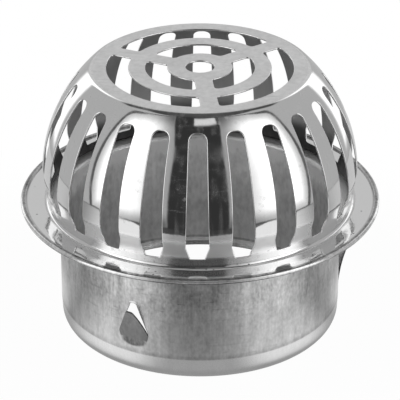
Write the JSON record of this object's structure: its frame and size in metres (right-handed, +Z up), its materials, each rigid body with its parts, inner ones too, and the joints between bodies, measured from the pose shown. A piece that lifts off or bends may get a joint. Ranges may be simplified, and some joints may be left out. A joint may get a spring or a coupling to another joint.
{
  "type": "floor drain strainer",
  "caption": "Stainless dome strainer with a pierced crown and slotted sides, held in the rolled rim of a short barbed collar that drops into a waste pipe.",
  "frame": {"origin": "middle of the collar's lower edge, on the surface that the drain stands on", "axes": "+Z up along the drain's axis, the front of the picture towards -Y"},
  "size_m": [0.128, 0.128, 0.0967],
  "materials": {
    "polished_steel": "mirror polished on the side and flange, satin on the crown",
    "satin_steel": "satin mill finish with upright draw marks, polished on the rolled rim"
  },
  "bodies": {
    "root": {"dome_strainer": "polished_steel", "collar": "satin_steel"}
  },
  "joints": []
}
